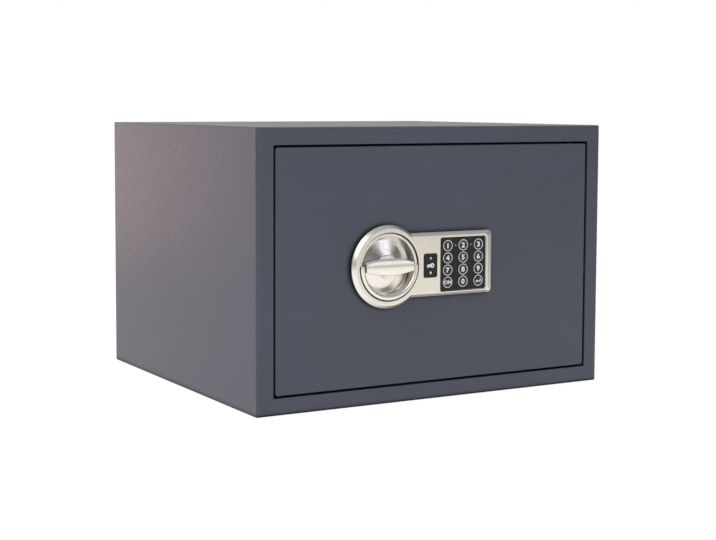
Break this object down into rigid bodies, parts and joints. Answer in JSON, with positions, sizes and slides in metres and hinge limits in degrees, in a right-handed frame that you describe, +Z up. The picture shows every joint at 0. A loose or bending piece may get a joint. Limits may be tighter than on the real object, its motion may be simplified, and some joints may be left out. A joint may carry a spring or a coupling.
{
  "type": "electronic safe deposit box",
  "caption": "Small steel safe with a hinged front door, live bolts thrown by a round knob, a keypad lock and an emergency keyhole under a pull-off cover.",
  "frame": {"origin": "centre of the flat base, on the surface it stands on", "axes": "+X along the width, towards the hinge side; -Y out of the door's face; +Z up"},
  "size_m": [0.445, 0.4122, 0.3],
  "materials": {
    "grey_paint": "slate grey fine-textured powder coat",
    "mat": "dark felt",
    "steel": "bright zinc-plated steel",
    "nickel": "satin champagne nickel",
    "brass": "turned brass",
    "copper_coil": "taped coil",
    "black_plastic": "fine-textured black",
    "buffer_rubber": "black sponge strip behind the door plate",
    "light_lens": "clear white",
    "circuit": "solder-masked laminate",
    "cell_wrap": "plain cell sleeve",
    "red_plastic": "red"
  },
  "bodies": {
    "cabinet": {"body_shell": "grey_paint", "front_frame": "grey_paint", "jamb_frame": "grey_paint", "strike_jamb": "grey_paint", "door_stop": "buffer_rubber", "back_panel": "grey_paint", "floor_mat": "mat", "hinge_pin_bottom": "grey_paint", "hinge_pin_top": "grey_paint"},
    "door": {"door_plate": "grey_paint", "door_pan": "grey_paint", "door_cover": "grey_paint", "cover_screws": "steel", "hinge_block_bottom": "steel", "hinge_block_top": "steel", "hinge_dog": "grey_paint", "lock_plate": "nickel", "lock_plate_studs": "steel", "knob_carrier": "steel", "spindle_bush": "brass", "bolt_guide": "grey_paint", "slide_studs": "steel", "solenoid_frame": "steel", "solenoid_coil": "copper_coil", "key_barrel": "brass", "keypad_panel": "black_plastic", "status_lights": "light_lens", "keypad_board": "circuit", "circuit_board": "circuit", "board_standoffs": "black_plastic", "battery_holder": "black_plastic", "battery_cells": "cell_wrap", "lid_rails": "black_plastic", "reset_switch": "black_plastic"},
    "knob": {"knob_dial": "nickel", "knob_grip": "nickel", "spindle": "steel", "drive_cam": "steel"},
    "boltwork": {"bolt_bar": "steel", "lock_tab": "steel", "bolt_lower": "steel", "bolt_upper": "steel"},
    "plunger": {"plunger": "steel"},
    "key_plug": {"key_plug": "brass", "key_cam": "steel"},
    "key_cover": {"key_cover": "black_plastic"},
    "battery_lid": {"battery_lid": "black_plastic"},
    "reset_button": {"reset_button": "red_plastic"},
    "key_1": {"key_1": "black_plastic"},
    "key_2": {"key_2": "black_plastic"},
    "key_3": {"key_3": "black_plastic"},
    "key_4": {"key_4": "black_plastic"},
    "key_5": {"key_5": "black_plastic"},
    "key_6": {"key_6": "black_plastic"},
    "key_7": {"key_7": "black_plastic"},
    "key_8": {"key_8": "black_plastic"},
    "key_9": {"key_9": "black_plastic"},
    "key_on": {"key_on": "black_plastic"},
    "key_0": {"key_0": "black_plastic"},
    "key_enter": {"key_enter": "black_plastic"}
  },
  "joints": [
    {"name": "door_hinge", "type": "hinge", "parent": "cabinet", "child": "door", "pos_m": [0.1815, -0.192, 0.15], "axis": [0, 0, 1], "range_deg": [0, 100]},
    {"name": "knob_turn", "type": "hinge", "parent": "door", "child": "knob", "pos_m": [-0.069, -0.209, 0.15], "axis": [0, -1, 0], "range_deg": [0, 60]},
    {"name": "bolt_slide", "type": "slide", "parent": "door", "child": "boltwork", "axis": [-1, 0, 0], "range_m": [0, 0.02]},
    {"name": "plunger_slide", "type": "slide", "parent": "door", "child": "plunger", "axis": [0, 0, 1], "range_m": [0, 0.006]},
    {"name": "key_turn", "type": "hinge", "parent": "door", "child": "key_plug", "pos_m": [-0.0171, -0.207, 0.1491], "axis": [0, -1, 0], "range_deg": [0, 90]},
    {"name": "key_cover_pull", "type": "slide", "parent": "door", "child": "key_cover", "axis": [0, -1, 0], "range_m": [0, 0.03]},
    {"name": "battery_lid_slide", "type": "slide", "parent": "door", "child": "battery_lid", "axis": [0, 0, 1], "range_m": [0, 0.06]},
    {"name": "reset_press", "type": "slide", "parent": "door", "child": "reset_button", "axis": [0, -1, 0], "range_m": [0, 0.002], "stiffness_N_per_m": 300},
    {"name": "key_1_press", "type": "slide", "parent": "door", "child": "key_1", "axis": [0, 1, 0], "range_m": [0, 0.0008], "stiffness_N_per_m": 500},
    {"name": "key_2_press", "type": "slide", "parent": "door", "child": "key_2", "axis": [0, 1, 0], "range_m": [0, 0.0008], "stiffness_N_per_m": 500},
    {"name": "key_3_press", "type": "slide", "parent": "door", "child": "key_3", "axis": [0, 1, 0], "range_m": [0, 0.0008], "stiffness_N_per_m": 500},
    {"name": "key_4_press", "type": "slide", "parent": "door", "child": "key_4", "axis": [0, 1, 0], "range_m": [0, 0.0008], "stiffness_N_per_m": 500},
    {"name": "key_5_press", "type": "slide", "parent": "door", "child": "key_5", "axis": [0, 1, 0], "range_m": [0, 0.0008], "stiffness_N_per_m": 500},
    {"name": "key_6_press", "type": "slide", "parent": "door", "child": "key_6", "axis": [0, 1, 0], "range_m": [0, 0.0008], "stiffness_N_per_m": 500},
    {"name": "key_7_press", "type": "slide", "parent": "door", "child": "key_7", "axis": [0, 1, 0], "range_m": [0, 0.0008], "stiffness_N_per_m": 500},
    {"name": "key_8_press", "type": "slide", "parent": "door", "child": "key_8", "axis": [0, 1, 0], "range_m": [0, 0.0008], "stiffness_N_per_m": 500},
    {"name": "key_9_press", "type": "slide", "parent": "door", "child": "key_9", "axis": [0, 1, 0], "range_m": [0, 0.0008], "stiffness_N_per_m": 500},
    {"name": "key_on_press", "type": "slide", "parent": "door", "child": "key_on", "axis": [0, 1, 0], "range_m": [0, 0.0008], "stiffness_N_per_m": 500},
    {"name": "key_0_press", "type": "slide", "parent": "door", "child": "key_0", "axis": [0, 1, 0], "range_m": [0, 0.0008], "stiffness_N_per_m": 500},
    {"name": "key_enter_press", "type": "slide", "parent": "door", "child": "key_enter", "axis": [0, 1, 0], "range_m": [0, 0.0008], "stiffness_N_per_m": 500}
  ],
  "couplings": [
    {"joint": "bolt_slide", "follows": "knob_turn", "m_per_rad": 0.019099}
  ]
}
